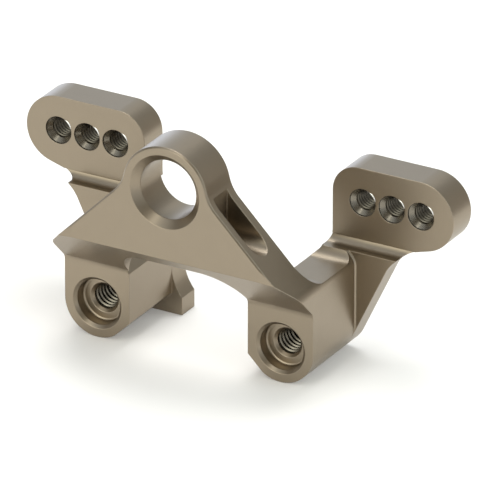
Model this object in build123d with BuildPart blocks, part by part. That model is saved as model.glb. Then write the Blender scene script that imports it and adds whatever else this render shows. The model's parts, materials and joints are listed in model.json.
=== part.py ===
"""Camber block: one machined aluminium piece.

A ring plate in front stands on two bosses. Behind it two arms rise from the
bosses to a pair of ears with three tapped holes each.

Millimetres. X runs across the block, Y from front to back and Z up. The origin
is the middle of the base, half way between the front and the rear face.
Depths are measured from the plate's front face towards the back.
"""

import os
from math import cos, radians, sin, sqrt, tan

from build123d import *

# Bosses: two blocks with a round underside and one tapped hole each
boss_spacing = 25.5
boss_radius = 4.5
boss_flat_depth = 0.1  # how far the 45 degree flat cuts into the round underside
boss_thread_radius = 1.6  # tapping size for M4
boss_thread_depth = 10.0
boss_thread_lip = 0.37
boss_counterbore_radius = 3.0
boss_counterbore_depth = 1.85
boss_counterbore_lip = 0.4
boss_counterbore_corner = 0.3  # radius between its wall and its floor
drill_point_angle = 118.0

# Ring plate
ring_above_bosses = 20.0  # ring axis above the boss axes
ring_radius = 5.85
bore_radius = 3.85
bore_lip = 0.95
plate_thickness = 5.7
plate_lower_edge = 15.6  # height of the front face's lower edge above the base
plate_edge_break = 0.2
leg_set = 4.1  # from the ring axis to the sloping outer face of each leg
leg_to_ring_radius = 5.0
leg_to_side_radius = 2.0
plate_to_boss_radius = 1.2
tip_bevel_width = 4.4  # outer strip of the front face that falls back a little
tip_bevel_angle = 8.0

# Arch between the bosses
arch_height = 14.2
arch_corner_radius = 4.3

# Slot milled into the outer face of each leg
slot_front_wall = 1.1
slot_width = 3.35
slot_to_bore = 2.25  # material left between the slot's floor and the bore
slot_low_end = 17.95  # height of its rounded lower end

# Groove that runs across behind the plate
groove_width = 10.3
groove_floor = 13.05
groove_front_radius = 3.0
groove_rear_radius = 2.0

# Arms, with a foot under each
arm_thickness = 3.0
arm_lean = 25.4  # degrees that the outer edge leans out
boss_to_arm_bevel = 0.16  # in the corners where the bosses' sides meet the arms
foot_reach = 1.45  # how far the foot comes in past the boss's inner side
foot_corner_height = 2.3
foot_blend_height = 6.3
gap_slope_start = 9.4  # height where the inner sides turn out at 45 degrees
gap_radius = 3.2

# Ears
ear_set_back = 1.85  # from the arm's front face to the ear's front face
ear_thickness = 4.4
ear_above_bosses = 15.4  # row of holes above the boss axes
ear_radius = 4.5
ear_side_set_out = 4.85  # from the boss's inner side out to the ear's inner side
ear_corner_radius = 3.6
ear_underside_fall = 16.0  # degrees that the underside falls towards the arm
ear_to_arm_radius = 5.2
ear_hole_set_out = 4.45  # from the boss axis out to the first hole
ear_hole_pitch = 4.0
ear_thread_radius = 1.25  # tapping size for M3
ear_mouth_radius = 1.8
ear_mouth_wall = 0.25  # straight wall of the mouth, in front of its 45 degree cone

# Step between arm and ear: a ledge and a cove in front, an undercut behind
ear_lower_edge = 15.0
cove_height = 0.88  # from the ledge up to the ear's lower edge
cove_radius = 1.35
cove_relief = 0.2  # how far the cove cuts in behind the ear's front face
undercut_radius = 2.5

# Values that follow from the sizes above
boss_x = boss_spacing / 2
boss_z = boss_radius
outer_side = boss_x + boss_radius
inner_side = boss_x - boss_radius
foot_inner_side = inner_side - foot_reach
tip_bevel_start = outer_side - tip_bevel_width
slot_floor = bore_radius + slot_to_bore
ring_z = boss_z + ring_above_bosses
ear_z = boss_z + ear_above_bosses
ear_top = ear_z + ear_radius
ear_inner_side = inner_side + ear_side_set_out
ear_first_hole = boss_x + ear_hole_set_out
ear_last_hole = ear_first_hole + 2 * ear_hole_pitch
ear_outer_side = ear_last_hole + ear_radius
arm_face = plate_thickness + groove_width
arm_rear = arm_face + arm_thickness
ear_face = arm_face + ear_set_back
ear_rear = ear_face + ear_thickness
front = -ear_rear / 2
ledge_height = ear_lower_edge - cove_height
leg_line = ring_z + leg_set * sqrt(2)  # distance across plus height on the leg's outer face
margin = 1.0  # how far a cut runs past the faces that it opens
top = max(ring_z + ring_radius, ear_top) + margin


def at_depth(depth):
    """The upright plane at this depth."""
    return Plane.XZ.offset(-front - depth)


def corner(sketch, across, up):
    """The corner of an upright sketch nearest to this place, with its mirror image."""
    return [sketch.vertices().sort_by_distance((side * across, up))[0] for side in (-1, 1)]


def body_outline():
    """Front view of the ring, the legs and the bosses, with the space between the bosses filled."""
    foot_of_line = leg_set / sqrt(2)
    half_chord = sqrt(ring_radius**2 - leg_set**2) / sqrt(2)
    shoulder = leg_line - outer_side
    with BuildSketch() as outline:
        with BuildLine():
            Polyline(
                (0, ring_z),
                (foot_of_line, ring_z + foot_of_line),
                (outer_side, shoulder),
                (outer_side, boss_z),
                (0, boss_z),
                close=True,
            )
        make_face()
        mirror(about=Plane.YZ)
        with Locations((0, ring_z)):
            Circle(ring_radius)
        fillet(corner(outline, foot_of_line + half_chord, ring_z + foot_of_line - half_chord), leg_to_ring_radius)
        fillet(corner(outline, outer_side, shoulder), leg_to_side_radius)
        add(boss_outline())
    return outline.sketch


def boss_outline():
    """Front view of both boss undersides: round, with a 45 degree flat on the inner lower corner."""
    flat_set = boss_radius - boss_flat_depth
    flat_half = sqrt(boss_radius**2 - flat_set**2)
    flat_line = boss_x + boss_z - flat_set * sqrt(2)
    with BuildSketch() as outline:
        with Locations((boss_x, boss_z)):
            Circle(boss_radius)
        with BuildLine():
            Polyline(
                (boss_x, boss_z),
                (inner_side, boss_z),
                (inner_side, flat_line - inner_side),
                (boss_x - (flat_set - flat_half) / sqrt(2), boss_z - (flat_set + flat_half) / sqrt(2)),
                close=True,
            )
        make_face()
        with BuildLine():
            Polyline(
                (inner_side - margin, flat_line - inner_side + margin),
                (flat_line + margin, -margin),
                (inner_side - margin, -margin),
                close=True,
            )
        make_face(mode=Mode.SUBTRACT)
        mirror(about=Plane.YZ)
    return outline.sketch


def arm_outline():
    """Front view of both arms with their feet and ears."""
    lean = radians(arm_lean)
    fall = radians(ear_underside_fall)
    start = (boss_x + boss_radius * cos(lean), boss_z - boss_radius * sin(lean))
    end = (ear_last_hole + ear_radius * sin(fall), ear_z - ear_radius * cos(fall))
    rise = (end[0] - start[0] - (end[1] - start[1]) / tan(fall)) / (tan(lean) - 1 / tan(fall))
    meeting = (start[0] + rise * tan(lean), start[1] + rise)
    gap_bend = gap_slope_start + ear_inner_side - inner_side
    with BuildSketch() as outline:
        with BuildLine():
            TangentArc(
                (inner_side, foot_blend_height),
                (foot_inner_side, foot_corner_height),
                tangent=(0, -1),
            )
            Polyline(
                (foot_inner_side, foot_corner_height),
                (foot_inner_side, 0),
                (boss_x, 0),
            )
            ThreePointArc(
                (boss_x, 0),
                (boss_x + boss_radius * sin(lean), boss_z - boss_radius * cos(lean)),
                start,
            )
            Polyline(start, meeting, end)
            ThreePointArc(end, (ear_outer_side, ear_z), (ear_last_hole, ear_top))
            Polyline(
                (ear_last_hole, ear_top),
                (ear_inner_side, ear_top),
                (ear_inner_side, gap_bend),
                (inner_side, gap_slope_start),
                (inner_side, foot_blend_height),
            )
        make_face()
        mirror(about=Plane.YZ)
        fillet(corner(outline, *meeting), ear_to_arm_radius)
        fillet(corner(outline, ear_inner_side, ear_top), ear_corner_radius)
        fillet(corner(outline, ear_inner_side, gap_bend), gap_radius)
    return outline.sketch


def cross_cut(points, rounded=()):
    """Cutter that runs right across the block, from corners given as depth and height."""
    with BuildPart() as cutter:
        with BuildSketch(Plane.YZ) as section:
            with BuildLine():
                Polyline([(front + depth, height) for depth, height in points], close=True)
            make_face()
            for depth, height, radius in rounded:
                fillet(section.vertices().sort_by_distance((front + depth, height))[0], radius)
        extrude(amount=ear_outer_side + margin, both=True)
    return cutter.part


def underside():
    """Cutter below the plate: a 45 degree slope from its lower edge back to the boss faces."""
    slope_end = plate_lower_edge - plate_thickness
    return cross_cut(
        [
            (-margin, plate_lower_edge + margin),
            (plate_thickness, slope_end),
            (plate_thickness, -margin),
            (-margin, -margin),
        ],
        [(plate_thickness, slope_end, plate_to_boss_radius)],
    )


def arch():
    """Cutter for the opening between the bosses and under the plate."""
    with BuildPart() as cutter:
        with BuildSketch(at_depth(-margin)) as opening:
            with BuildLine():
                Polyline(
                    (-inner_side, -margin),
                    (-inner_side, arch_height),
                    (inner_side, arch_height),
                    (inner_side, -margin),
                    close=True,
                )
            make_face()
            fillet(corner(opening, inner_side, arch_height), arch_corner_radius)
        extrude(amount=-arm_face - 2 * margin)
    return cutter.part


def gap():
    """Cutter for the wide gap behind the plate, its sides turned out at 45 degrees."""
    reach = gap_slope_start + ear_inner_side - inner_side
    with BuildPart() as cutter:
        with BuildSketch(at_depth(plate_thickness)):
            with BuildLine():
                Polyline(
                    (0, -margin),
                    (inner_side, -margin),
                    (inner_side, gap_slope_start),
                    (ear_inner_side, reach),
                    (ear_inner_side + top - reach, top),
                    (0, top),
                    close=True,
                )
            make_face()
            mirror(about=Plane.YZ)
        extrude(amount=-groove_width)
    return cutter.part


def groove():
    """Cutter for the groove between the plate and the arms."""
    return cross_cut(
        [
            (plate_thickness, top),
            (plate_thickness, groove_floor),
            (arm_face, groove_floor),
            (arm_face, top),
        ],
        [
            (plate_thickness, groove_floor, groove_front_radius),
            (arm_face, groove_floor, groove_rear_radius),
        ],
    )


def leg_slots():
    """Cutter for the round-ended slot in the outer face of each leg."""
    radius = slot_width / 2
    middle = front + slot_front_wall + radius
    with BuildPart() as cutter:
        with BuildSketch(Plane.YZ.offset(slot_floor)):
            with Locations((middle, slot_low_end + radius)):
                Circle(radius)
            with Locations((middle, (slot_low_end + radius + top) / 2)):
                Rectangle(slot_width, top - slot_low_end - radius)
        extrude(amount=outer_side)
        mirror(about=Plane.YZ)
    return cutter.part


def tip_bevels():
    """Cutter for the front face's outer tips, which fall back a little."""
    reach = outer_side + margin
    drop = (reach - tip_bevel_start) * tan(radians(tip_bevel_angle))
    with BuildPart() as cutter:
        with BuildSketch(Plane.XY):
            with BuildLine():
                Polyline(
                    (tip_bevel_start, front),
                    (reach, front + drop),
                    (reach, front - margin),
                    (tip_bevel_start, front - margin),
                    close=True,
                )
            make_face()
            mirror(about=Plane.YZ)
        extrude(amount=top)
    return cutter.part


def turned(profile, rounded=()):
    """Cutter turned about the Y axis, from corners given as radius and depth, first and last on the axis."""
    with BuildPart() as cutter:
        with BuildSketch() as section:
            with BuildLine():
                Polyline(profile, close=True)
            make_face()
            for radius, depth, corner_radius in rounded:
                fillet(section.vertices().sort_by_distance((radius, depth))[0], corner_radius)
        revolve(axis=Axis.Y)
    return cutter.part


def ring_bore():
    """Cutter for the ring's bore with its wide lip in front."""
    return turned(
        [
            (0, -margin),
            (bore_radius + bore_lip + margin, -margin),
            (bore_radius, bore_lip),
            (bore_radius, plate_thickness + margin),
            (0, plate_thickness + margin),
        ]
    )


def ear_hole():
    """Cutter for one tapped hole through an ear: a short wide mouth, a 45 degree cone and the bore."""
    return turned(
        [
            (0, -margin),
            (ear_mouth_radius, -margin),
            (ear_mouth_radius, ear_mouth_wall),
            (ear_thread_radius, ear_mouth_wall + ear_mouth_radius - ear_thread_radius),
            (ear_thread_radius, ear_thickness + margin),
            (0, ear_thickness + margin),
        ]
    )


def boss_hole():
    """Cutter for one boss: a shallow counterbore and a blind tapped hole with a drill point."""
    point = boss_thread_radius / tan(radians(drill_point_angle / 2))
    return turned(
        [
            (0, -margin),
            (boss_counterbore_radius + boss_counterbore_lip + margin, -margin),
            (boss_counterbore_radius, boss_counterbore_lip),
            (boss_counterbore_radius, boss_counterbore_depth),
            (boss_thread_radius + boss_thread_lip, boss_counterbore_depth),
            (boss_thread_radius, boss_counterbore_depth + boss_thread_lip),
            (boss_thread_radius, boss_thread_depth),
            (0, boss_thread_depth + point),
        ],
        [(boss_counterbore_radius, boss_counterbore_depth, boss_counterbore_corner)],
    )


def ledge():
    """Cutter in front of the ears: a flat ledge on the arm and a cove that rises to the ear's face."""
    centre_height = ledge_height + cove_radius
    rise = centre_height - ear_lower_edge
    rear = ear_face + cove_relief
    centre = rear - sqrt(cove_radius**2 - rise**2)
    start = arm_face - groove_rear_radius
    half = sqrt(0.5) * cove_radius
    with BuildPart() as cutter:
        with BuildSketch(Plane.YZ):
            with BuildLine():
                Polyline(
                    (front + rear, ear_lower_edge),
                    (front + ear_face, ear_lower_edge),
                    (front + ear_face, top),
                    (front + start, top),
                    (front + start, ledge_height),
                    (front + centre, ledge_height),
                )
                ThreePointArc(
                    (front + centre, ledge_height),
                    (front + centre + half, centre_height - half),
                    (front + rear, ear_lower_edge),
                )
            make_face()
        extrude(amount=ear_outer_side + margin, both=True)
    return cutter.part


def undercut():
    """Cutter behind the arms, rounded where it meets the ears."""
    return cross_cut(
        [
            (arm_rear, -margin),
            (arm_rear, ear_lower_edge),
            (ear_rear + margin, ear_lower_edge),
            (ear_rear + margin, -margin),
        ],
        [(arm_rear, ear_lower_edge, undercut_radius)],
    )


def corner_fillers():
    """Narrow 45 degree bevels in the corners where the bosses' sides meet the arms."""
    with BuildPart() as filler:
        with BuildSketch(at_depth(arm_face - boss_to_arm_bevel)):
            add(body_outline())
        extrude(amount=-boss_to_arm_bevel, taper=-45)
        with BuildSketch(at_depth(arm_face - boss_to_arm_bevel)):
            add(arm_outline())
        extrude(amount=-boss_to_arm_bevel, mode=Mode.INTERSECT)
    return filler.part


def front_body():
    """Plate, bosses and the block behind them, up to the front of the arms."""
    with BuildPart() as body:
        with BuildSketch(at_depth(0)):
            add(body_outline())
        extrude(amount=-arm_face)
        add(underside(), mode=Mode.SUBTRACT)
        chamfer(plate_edges(body), plate_edge_break)
        add(corner_fillers())
        add(arch(), mode=Mode.SUBTRACT)
        add(gap(), mode=Mode.SUBTRACT)
        add(groove(), mode=Mode.SUBTRACT)
    return body.part


def plate_edges(plate):
    """The upper outline of the plate's front face, without the straight lower edge."""
    face = plate.faces().filter_by(Axis.Y).sort_by(Axis.Y)[0]
    return face.outer_wire().edges().sort_by(Axis.Z)[1:]


def arms_and_ears():
    """Both arms with their ears, before the holes."""
    with BuildPart() as arms:
        with BuildSketch(at_depth(arm_face)):
            add(arm_outline())
        extrude(amount=arm_face - ear_rear)
        add(undercut(), mode=Mode.SUBTRACT)
    return arms.part


with BuildPart() as block:
    add(front_body())
    add(arms_and_ears())
    add(ledge(), mode=Mode.SUBTRACT)
    add(leg_slots(), mode=Mode.SUBTRACT)
    add(tip_bevels(), mode=Mode.SUBTRACT)
    with Locations((0, front, ring_z)):
        add(ring_bore(), mode=Mode.SUBTRACT)
    with Locations((-boss_x, front + plate_thickness, boss_z), (boss_x, front + plate_thickness, boss_z)):
        add(boss_hole(), mode=Mode.SUBTRACT)
    for side in (-1, 1):
        for number in range(3):
            with Locations((side * (ear_first_hole + number * ear_hole_pitch), front + ear_face, ear_z)):
                add(ear_hole(), mode=Mode.SUBTRACT)

block.part.label = "camber_block"
os.makedirs("parts", exist_ok=True)
export_step(block.part, "parts/camber_block.step")
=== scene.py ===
"""Looks for the camber block: bronze anodised aluminium, threads in its holes, a white studio."""
import json
from math import cos, log, pi, radians, sin, tan

import bmesh
import bpy
from mathutils import Matrix, Vector


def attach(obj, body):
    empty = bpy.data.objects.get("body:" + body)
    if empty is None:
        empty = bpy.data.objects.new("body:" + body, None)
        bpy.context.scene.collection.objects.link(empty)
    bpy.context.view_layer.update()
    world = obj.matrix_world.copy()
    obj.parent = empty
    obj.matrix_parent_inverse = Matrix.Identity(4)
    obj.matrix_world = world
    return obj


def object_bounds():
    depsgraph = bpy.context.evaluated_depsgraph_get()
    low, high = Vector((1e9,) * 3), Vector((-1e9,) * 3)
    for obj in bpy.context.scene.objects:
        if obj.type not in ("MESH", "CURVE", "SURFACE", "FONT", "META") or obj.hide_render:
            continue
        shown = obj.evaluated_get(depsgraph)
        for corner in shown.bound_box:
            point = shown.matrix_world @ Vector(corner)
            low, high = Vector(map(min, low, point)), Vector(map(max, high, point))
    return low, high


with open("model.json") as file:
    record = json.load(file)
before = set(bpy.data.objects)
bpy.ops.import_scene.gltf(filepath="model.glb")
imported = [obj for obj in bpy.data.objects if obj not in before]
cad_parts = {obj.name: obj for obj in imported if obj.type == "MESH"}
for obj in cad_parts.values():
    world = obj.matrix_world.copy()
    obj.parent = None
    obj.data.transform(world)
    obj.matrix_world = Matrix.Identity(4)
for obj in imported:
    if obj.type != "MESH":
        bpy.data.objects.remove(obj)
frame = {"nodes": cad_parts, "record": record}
cad_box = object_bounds()

block = frame["nodes"]["camber_block"]
record = frame["record"]
base_corner = cad_box[0]

# ---- driving values, in metres unless the name says otherwise
MM = 0.001

# the photograph's camera, fitted to the part's edges
CAMERA_AZIMUTH = radians(29.613)
CAMERA_ELEVATION = radians(25.185)
CAMERA_ROLL = radians(0.03)
CAMERA_DISTANCE = 1.40054
CAMERA_LENS_MM = 843.3
CAMERA_SENSOR_MM = 36.0
CAMERA_RIGHT_OF_RING = 10.253 * MM
CAMERA_BELOW_RING = 6.863 * MM
CAMERA_NEAREST = 0.05
CAMERA_FARTHEST = 20.0

# threads: a ridge that follows a helix inside each tapped hole
BOSS_PITCH = 0.7 * MM
EAR_PITCH = 0.5 * MM
THREAD_DEPTH_SHARE = 0.3
THREAD_SUNK_SHARE = 0.04
THREAD_CREST_SHARE = 0.2
THREAD_FLANK = radians(60)
THREAD_FADE_TURNS = 0.5
THREAD_SEGMENTS = 56
THREAD_SHARP = radians(30)

# mouths of the holes in the solid
BOSS_MOUTH_RADIUS = 2.0 * MM
EAR_MOUTH_RADIUS = 1.8 * MM
EAR_MOUTH_DEPTH = 0.8 * MM

# the raised edge that the tool left at the upper right of each ear hole
BURR_ABOUT = radians(38)
BURR_SPAN = radians(48)
BURR_WIDTH = 0.17 * MM
BURR_HEIGHT = 0.09 * MM
BURR_SUNK = 0.01 * MM
BURR_INNER_HEIGHT_SHARE = 0.7
BURR_TOP_WIDTH_SHARE = 0.35
BURR_SEGMENTS = 20

# finishes: colour and roughness
FACE_FINISH = ((0.306, 0.254, 0.189), 0.34)
# painted shade: the hole walls and cones are coloured darker than the faces, for the shade inside the
# holes
HOLE_PAINTED_SHADE = ((0.27, 0.245, 0.2), 0.21)
CONE_PAINTED_SHADE = ((0.22, 0.198, 0.16), 0.27)
# painted shade: the threads are coloured darker still, the ear threads darkest, for the shade deep in the
# holes
BOSS_THREAD_PAINTED_SHADE = ((0.19, 0.172, 0.14), 0.26)
EAR_THREAD_PAINTED_SHADE = ((0.13, 0.118, 0.095), 0.3)
# the burrs' bare aluminium, its light colour partly a painted highlight that makes them glint white
BARE_AND_PAINTED_HIGHLIGHT = ((0.86, 0.85, 0.82), 0.22)
EDGE_ROUND = 0.13 * MM
EDGE_SAMPLES = 6

# fine detail of the finishes
CLOUDS_PER_MM = 0.35
CLOUD_DETAIL = 3.0
CLOUD_SPREAD = 0.04
GRAINS_PER_MM = 9.0
GRAIN_DETAIL = 2.0
GRAIN_ROUGHNESS_SPREAD = 0.03
GRAIN_LOW, GRAIN_HIGH = 0.3, 0.7
STREAKS_PER_MM = (9.0, 9.0, 0.5)
STREAK_TONE = 0.8
STREAK_SHARE = 0.18
RELIEF_OF_GRAIN = 0.5
RELIEF_STRENGTH = 0.06
RELIEF_HEIGHT = 0.02 * MM

# the block's material slots, and how far a face's normal leans towards Y on its walls and its flat faces
# the hole and cone slots carry the painted shade inside the holes
FACE_SLOT, HOLE_SHADE_SLOT, CONE_SHADE_SLOT = 0, 1, 2
WALL_LEAN = 0.3
FLAT_LEAN = 0.95

# studio
FLOOR_RADIUS = 0.13
FLOOR_SEGMENTS = 96
FLOOR_DROP = 0.02 * MM
FLOOR_COLOUR = (0.812, 0.788, 0.752)
FLOOR_GLOW = 0.15
SOFTBOX_SIZE = 0.5
SOFTBOX_DISTANCE = 0.83
SOFTBOX_AROUND = radians(108)
SOFTBOX_ABOVE = radians(73)
SOFTBOX_WATTS = 3.7
WHITE = (1.0, 1.0, 1.0)
ROOM_LEAST = 0.05
# what stands in the white room, out of the camera's sight: way round from +X, way up and half width in
# degrees, then the light it adds, which is below zero for a screen or a curtain that takes light away
ROOM_THINGS = (
    ("grey screen behind", 95, 25, 46, (-0.28, -0.21, -0.15)),
    ("grey screen on the left", 210, 30, 42, (-0.24, -0.19, -0.14)),
    ("grey screen on the right", 325, 30, 44, (-0.25, -0.19, -0.14)),
    ("curtain behind", 65, 11, 31, (-0.48, -0.57, -0.66)),
    ("curtain on the left", 209, 23, 19, (-0.6, -0.7, -0.8)),
    ("curtain on the right", 311, 38, 26, (-0.6, -0.7, -0.8)),
    ("lamp in front", 258, 20, 18, (2.7, 2.7, 2.35)),
    ("small lamp high in front", 280, 62, 5, (5.5, 5.5, 5.2)),
    ("lamp behind on the left", 133, 3, 15, (0.84, 0.98, 1.3)),
    ("lamp on the right", 8, 32, 19, (1.75, 2.05, 2.15)),
)


# ---- node helpers
class Tree:
    """Adds nodes and links to one node tree."""

    def __init__(self, tree):
        self.tree = tree
        tree.nodes.clear()

    def put(self, socket, value):
        """Links the value to the socket if it is another node's output, and writes it there otherwise."""
        if isinstance(value, bpy.types.NodeSocket):
            self.tree.links.new(value, socket)
        else:
            socket.default_value = value

    def add(self, kind, inputs=None, **settings):
        node = self.tree.nodes.new(kind)
        for name, value in settings.items():
            setattr(node, name, value)
        for name, value in (inputs or {}).items():
            self.put(node.inputs[name], value)
        return node

    def math(self, operation, a, b=0.0):
        return self.add("ShaderNodeMath", {0: a, 1: b}, operation=operation).outputs[0]

    def vector(self, operation, a, b):
        node = self.add("ShaderNodeVectorMath", {0: a, 1: b}, operation=operation)
        return node.outputs["Value" if operation == "DOT_PRODUCT" else "Vector"]

    def scaled(self, a, scale):
        node = self.add("ShaderNodeVectorMath", {0: a, "Scale": scale}, operation="SCALE")
        return node.outputs["Vector"]

    def step(self, value, start, end, low, high):
        """A smooth rise from low to high as value goes from start to end."""
        node = self.add("ShaderNodeMapRange", {0: value, 1: start, 2: end, 3: low, 4: high},
                        interpolation_type="SMOOTHSTEP")
        return node.outputs[0]

    def colour(self, factor, a, b):
        """Colour a where factor is 0, colour b where it is 1."""
        node = self.add("ShaderNodeMix", data_type="RGBA")
        a, b = ((*c, 1.0) if isinstance(c, tuple) else c for c in (a, b))
        for index, value in ((0, factor), (6, a), (7, b)):
            self.put(node.inputs[index], value)
        return node.outputs[2]

    def noise(self, vector, scale, detail):
        node = self.add("ShaderNodeTexNoise", {"Vector": vector, "Scale": scale, "Detail": detail})
        return node.outputs["Fac"]


def new_material(name):
    material = bpy.data.materials.new(name)
    material.use_nodes = True
    return material, Tree(material.node_tree)


def shaded(tone, factor):
    """The colour made darker or lighter by a factor."""
    return tuple(factor * c for c in tone)


# ---- materials
def metal(name, finish):
    """Anodised or bare aluminium: faint clouds, a fine blasted grain and faint streaks along Z."""
    tone, roughness = finish
    material, t = new_material(name)
    place = t.scaled(t.add("ShaderNodeTexCoord").outputs["Object"], 1 / MM)
    cloud = t.noise(place, CLOUDS_PER_MM, CLOUD_DETAIL)
    grain = t.noise(place, GRAINS_PER_MM, GRAIN_DETAIL)
    stretched = t.add("ShaderNodeMapping", {"Vector": place, "Scale": STREAKS_PER_MM}).outputs[0]
    streak = t.noise(stretched, 1.0, GRAIN_DETAIL)
    colour = t.colour(cloud, shaded(tone, 1 - CLOUD_SPREAD), shaded(tone, 1 + CLOUD_SPREAD))
    colour = t.colour(t.math("MULTIPLY", streak, STREAK_SHARE), colour, shaded(tone, STREAK_TONE))
    rough = t.step(grain, GRAIN_LOW, GRAIN_HIGH,
                   roughness - GRAIN_ROUGHNESS_SPREAD, roughness + GRAIN_ROUGHNESS_SPREAD)
    rounded = t.add("ShaderNodeBevel", {"Radius": EDGE_ROUND}, samples=EDGE_SAMPLES).outputs[0]
    relief = t.math("ADD", t.math("MULTIPLY", grain, RELIEF_OF_GRAIN),
                    t.math("MULTIPLY", streak, 1 - RELIEF_OF_GRAIN))
    bump = t.add("ShaderNodeBump", {"Strength": RELIEF_STRENGTH, "Distance": RELIEF_HEIGHT,
                                    "Height": relief, "Normal": rounded}).outputs[0]
    shader = t.add("ShaderNodeBsdfPrincipled", {"Base Color": colour, "Metallic": 1.0,
                                                "Roughness": rough, "Normal": bump})
    t.add("ShaderNodeOutputMaterial", {"Surface": shader.outputs[0]})
    return material


def floor_material():
    """Matt and pale, with a little glow for what looks at it, so that it meets the white background."""
    material, t = new_material("floor")
    paths = t.add("ShaderNodeLightPath").outputs
    seen = t.math("MAXIMUM", t.math("MAXIMUM", paths["Is Camera Ray"], paths["Is Glossy Ray"]),
                  paths["Is Transmission Ray"])
    matt = t.add("ShaderNodeBsdfDiffuse", {"Color": (*FLOOR_COLOUR, 1.0)})
    strength = t.math("MULTIPLY", seen, FLOOR_GLOW)
    glow = t.add("ShaderNodeEmission", {"Color": (*WHITE, 1.0), "Strength": strength})
    both = t.add("ShaderNodeAddShader", {0: matt.outputs[0], 1: glow.outputs[0]})
    t.add("ShaderNodeOutputMaterial", {"Surface": both.outputs[0]})
    return material


# ---- pieces
def strip(rows):
    """A mesh of quads between rows of points, each row joined to the next."""
    mesh = bmesh.new()
    rows = [[mesh.verts.new(point) for point in row] for row in rows]
    for first, second in zip(rows, rows[1:]):
        for j in range(len(first) - 1):
            mesh.faces.new((first[j], first[j + 1], second[j + 1], second[j]))
    bmesh.ops.recalc_face_normals(mesh, faces=mesh.faces)
    return mesh


def add_piece(name, mesh, material, sharp=None):
    """Puts the mesh in the scene as a smooth piece of the block, creased at angles over sharp."""
    data = bpy.data.meshes.new(name)
    mesh.to_mesh(data)
    mesh.free()
    for polygon in data.polygons:
        polygon.use_smooth = True
    if sharp is not None:
        data.set_sharp_from_angle(angle=sharp)
    data.materials.append(material)
    obj = bpy.data.objects.new(name, data)
    bpy.context.scene.collection.objects.link(obj)
    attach(obj, "root")


def around_axis(mouth, radius, angle, depth):
    """The point this far from the hole's axis, this far round from +X and this deep behind the mouth."""
    return (mouth.x + radius * cos(angle), mouth.y + depth, mouth.z + radius * sin(angle))


def tapped_holes():
    """Name, middle, radius and length of each tapped hole, and whether it is in a boss."""
    for mount in record["mounts"]:
        if mount["kind"] == "threaded_hole":
            dims = mount["dims"]
            yield (mount["name"], Vector(mount["pos_m"]), dims["r_mm"] * MM, dims["length_mm"] * MM,
                   mount["name"].startswith("boss"))


def paint_shade_in_holes(hole_painted_shade, cone_painted_shade):
    """Gives the walls and the cones of the tapped holes the roughness that the drill and the tap left, and
    colours darker than the faces as painted shade inside the holes.
    """
    block.data.materials.append(hole_painted_shade)
    block.data.materials.append(cone_painted_shade)
    for _, place, _, length, in_boss in tapped_holes():
        reach = BOSS_MOUTH_RADIUS if in_boss else EAR_MOUTH_RADIUS
        for polygon in block.data.polygons:
            off = polygon.center - place
            lean = abs(polygon.normal.y)
            if off.x**2 + off.z**2 < reach**2 and abs(off.y) < length and lean < FLAT_LEAN:
                if lean <= WALL_LEAN:
                    polygon.material_index = HOLE_SHADE_SLOT
                else:
                    polygon.material_index = FACE_SLOT if in_boss else CONE_SHADE_SLOT


def threads(boss_painted_shade, ear_painted_shade):
    """A helical ridge on each tapped hole's wall, from the hole's mouth along +Y."""
    for name, place, radius, length, in_boss in tapped_holes():
        pitch = BOSS_PITCH if in_boss else EAR_PITCH
        root = radius + THREAD_SUNK_SHARE * pitch
        top = radius - THREAD_DEPTH_SHARE * pitch
        flank = (root - top) / tan(THREAD_FLANK)
        crest = THREAD_CREST_SHARE * pitch
        profile = ((0.0, root), (flank, top), (flank + crest, top), (2 * flank + crest, root))
        mouth = place - Vector((0, length / 2, 0))
        steps = int((length / pitch - 1.0) * THREAD_SEGMENTS)
        fade_steps = THREAD_FADE_TURNS * THREAD_SEGMENTS
        rows = []
        for i in range(steps + 1):
            turn = i / THREAD_SEGMENTS
            fade = min(1.0, i / fade_steps, (steps - i) / fade_steps)
            rows.append([around_axis(mouth, root + (r - root) * fade, 2 * pi * turn, pitch * turn + offset)
                         for offset, r in profile])
        # the threads' colours are painted shade, darker than the faces
        add_piece("thread_" + name, strip(rows), boss_painted_shade if in_boss else ear_painted_shade, THREAD_SHARP)


def burrs(finish):
    """A thin raised edge beside each ear hole's mouth, highest in the middle of its arc."""
    for name, place, _, length, in_boss in tapped_holes():
        if in_boss:
            continue
        mouth = place - Vector((0, length / 2 + EAR_MOUTH_DEPTH, 0))
        rows = []
        for i in range(BURR_SEGMENTS + 1):
            share = i / BURR_SEGMENTS
            wide, tall = BURR_WIDTH * sin(pi * share), BURR_HEIGHT * sin(pi * share)
            profile = ((0.0, -BURR_SUNK), (0.0, BURR_INNER_HEIGHT_SHARE * tall),
                       (BURR_TOP_WIDTH_SHARE * wide, tall), (wide, -BURR_SUNK))
            angle = BURR_ABOUT + BURR_SPAN * (share - 0.5)
            rows.append([around_axis(mouth, EAR_MOUTH_RADIUS + out, angle, -up) for out, up in profile])
        add_piece("burr_" + name, strip(rows), finish)


# ---- studio
def towards(around, above):
    """The direction this far round from +X and this far up."""
    return Vector((cos(above) * cos(around), cos(above) * sin(around), sin(above)))


def lay_floor():
    bpy.ops.mesh.primitive_circle_add(vertices=FLOOR_SEGMENTS, radius=FLOOR_RADIUS, fill_type="NGON",
                                      location=(0, 0, base_corner.z - FLOOR_DROP))
    floor = bpy.context.object
    floor.name = "floor"
    floor.data.materials.append(floor_material())


def hang_softbox():
    lamp = bpy.data.lights.new("softbox", "AREA")
    lamp.shape = "SQUARE"
    lamp.size = SOFTBOX_SIZE
    lamp.energy = SOFTBOX_WATTS
    box = bpy.data.objects.new("softbox", lamp)
    box.location = SOFTBOX_DISTANCE * towards(SOFTBOX_AROUND, SOFTBOX_ABOVE)
    box.rotation_euler = (-Vector(box.location)).to_track_quat("-Z", "Y").to_euler()
    bpy.context.scene.collection.objects.link(box)


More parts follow.
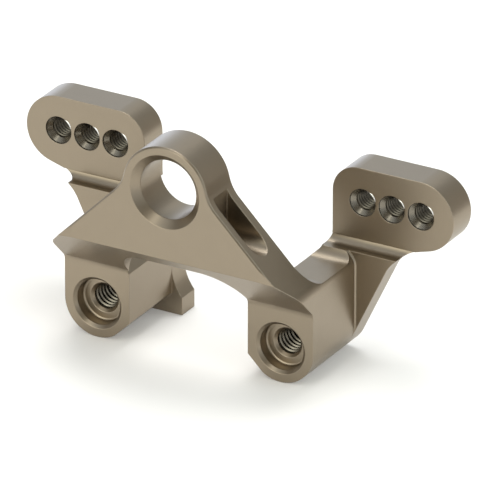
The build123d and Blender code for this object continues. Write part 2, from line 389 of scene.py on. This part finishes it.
def fill_room():
    """A white room. Camera and transmission rays see it plain, all others see what stands in it too."""
    world = bpy.data.worlds.new("studio")
    bpy.context.scene.world = world
    world.use_nodes = True
    t = Tree(world.node_tree)
    paths = t.add("ShaderNodeLightPath").outputs
    way = t.add("ShaderNodeTexCoord").outputs["Generated"]
    room = WHITE
    for _, around, above, half, light in ROOM_THINGS:
        middle = towards(radians(around), radians(above))
        falloff = log(2) / (1 - cos(radians(half)))
        off = t.math("SUBTRACT", t.vector("DOT_PRODUCT", way, middle), 1.0)
        share = t.math("EXPONENT", t.math("MULTIPLY", off, falloff))
        room = t.vector("ADD", room, t.scaled(light, share))
    room = t.vector("MAXIMUM", room, (ROOM_LEAST,) * 3)
    plain = t.math("MAXIMUM", paths["Is Camera Ray"], paths["Is Transmission Ray"])
    back = t.add("ShaderNodeBackground", {"Color": t.colour(plain, room, WHITE), "Strength": 1.0})
    t.add("ShaderNodeOutputWorld", {"Surface": back.outputs[0]})
    bpy.context.scene.view_settings.view_transform = "Standard"


def place_camera():
    """The photograph's camera, placed from the middle of the ring on the plate's front face."""
    back = towards(CAMERA_AZIMUTH - pi / 2, CAMERA_ELEVATION)
    right = Vector((cos(CAMERA_AZIMUTH), sin(CAMERA_AZIMUTH), 0))
    up = back.cross(right)
    ring = next(m for m in record["mounts"] if m["name"] == "ring_bore")["pos_m"]
    ring_front = Vector((ring[0], base_corner.y, ring[2]))
    target = ring_front + CAMERA_RIGHT_OF_RING * right - CAMERA_BELOW_RING * up
    roll = Matrix.Rotation(CAMERA_ROLL, 3, back)
    data = bpy.data.cameras.new("camera")
    data.lens = CAMERA_LENS_MM
    data.sensor_width = CAMERA_SENSOR_MM
    data.clip_start = CAMERA_NEAREST
    data.clip_end = CAMERA_FARTHEST
    obj = bpy.data.objects.new("camera", data)
    axes = Matrix((roll @ right, roll @ up, back)).transposed().to_4x4()
    obj.matrix_world = Matrix.Translation(target + back * CAMERA_DISTANCE) @ axes
    bpy.context.scene.collection.objects.link(obj)
    bpy.context.scene.camera = obj


block.data.materials.clear()
block.data.materials.append(metal("bronze", FACE_FINISH))
# the hole walls and cones get colours darker than the faces: painted shade inside the holes
paint_shade_in_holes(metal("bronze_hole_painted_shade", HOLE_PAINTED_SHADE), metal("bronze_cone_painted_shade", CONE_PAINTED_SHADE))
# the threads get colours darker than the faces: painted shade inside the holes
threads(metal("bronze_boss_thread_painted_shade", BOSS_THREAD_PAINTED_SHADE), metal("bronze_ear_thread_painted_shade", EAR_THREAD_PAINTED_SHADE))
# the burrs are bare aluminium, coloured light partly as a painted highlight
burrs(metal("bare_edge_painted_highlight", BARE_AND_PAINTED_HIGHLIGHT))
lay_floor()
hang_softbox()
fill_room()
place_camera()
